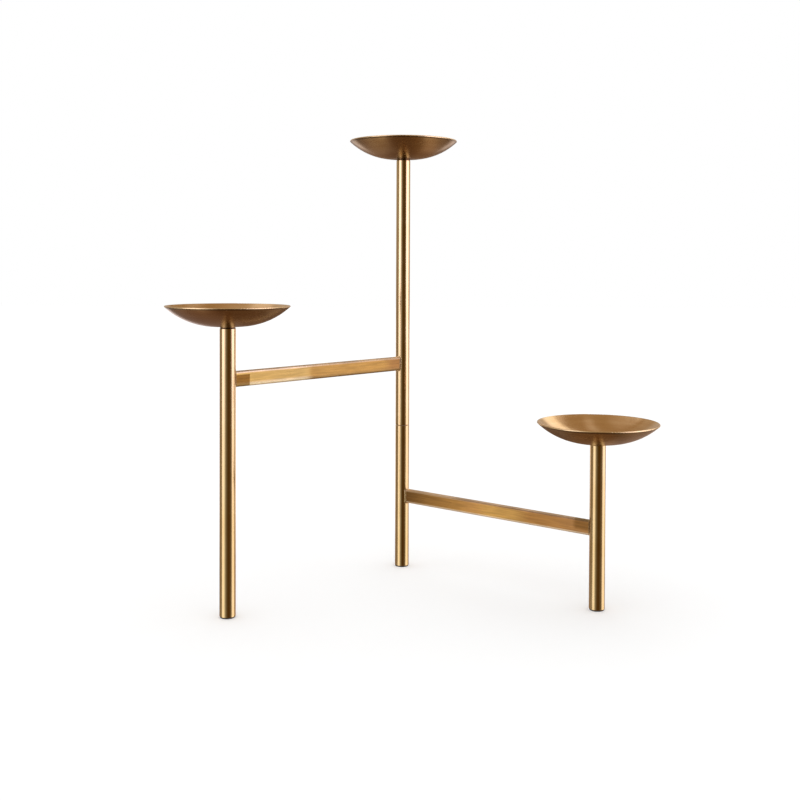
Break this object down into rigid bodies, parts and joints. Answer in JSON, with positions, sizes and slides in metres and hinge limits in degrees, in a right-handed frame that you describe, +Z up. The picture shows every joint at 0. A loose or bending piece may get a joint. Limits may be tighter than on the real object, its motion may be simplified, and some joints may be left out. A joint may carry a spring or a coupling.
{
  "type": "candlestick",
  "caption": "Brass candle stand: slim round posts of stepped heights, each under a shallow round dish, joined by flat bars; the upper half swivels on the middle post.",
  "frame": {"origin": "on the table, under the axis of the middle post", "axes": "+Z up along the middle post; the side posts stand towards -Y, the taller one at -X and the shorter one at +X"},
  "size_m": [0.4015, 0.2487, 0.4],
  "materials": {
    "tube_brass": "polished lacquered brass",
    "bar_brass": "polished brass, drawn along the length",
    "dish_brass": "spun brass, satin",
    "screw_brass": "turned brass",
    "bush_brass": "bare turned brass",
    "pin_steel": "bright turned steel",
    "washer_nylon": "dark brown nylon",
    "foot_rubber": "dark rubber"
  },
  "bodies": {
    "lower_stand": {"lower_tube": "tube_brass", "lower_arm": "bar_brass", "right_tube": "tube_brass", "right_dish": "dish_brass", "right_plug": "bush_brass", "right_screw": "screw_brass", "right_foot": "foot_rubber", "centre_foot": "foot_rubber", "swivel_pin": "pin_steel", "swivel_washer": "washer_nylon", "swivel_clip": "pin_steel"},
    "upper_stand": {"upper_tube": "tube_brass", "upper_arm": "bar_brass", "left_tube": "tube_brass", "left_dish": "dish_brass", "left_plug": "bush_brass", "left_screw": "screw_brass", "left_foot": "foot_rubber", "centre_dish": "dish_brass", "centre_plug": "bush_brass", "centre_screw": "screw_brass", "swivel_bush": "bush_brass"}
  },
  "joints": [
    {"name": "centre_swivel", "type": "hinge", "parent": "lower_stand", "child": "upper_stand", "pos_m": [0, 0, 0.13375], "axis": [0, 0, 1], "range_deg": [-248, 78]}
  ]
}
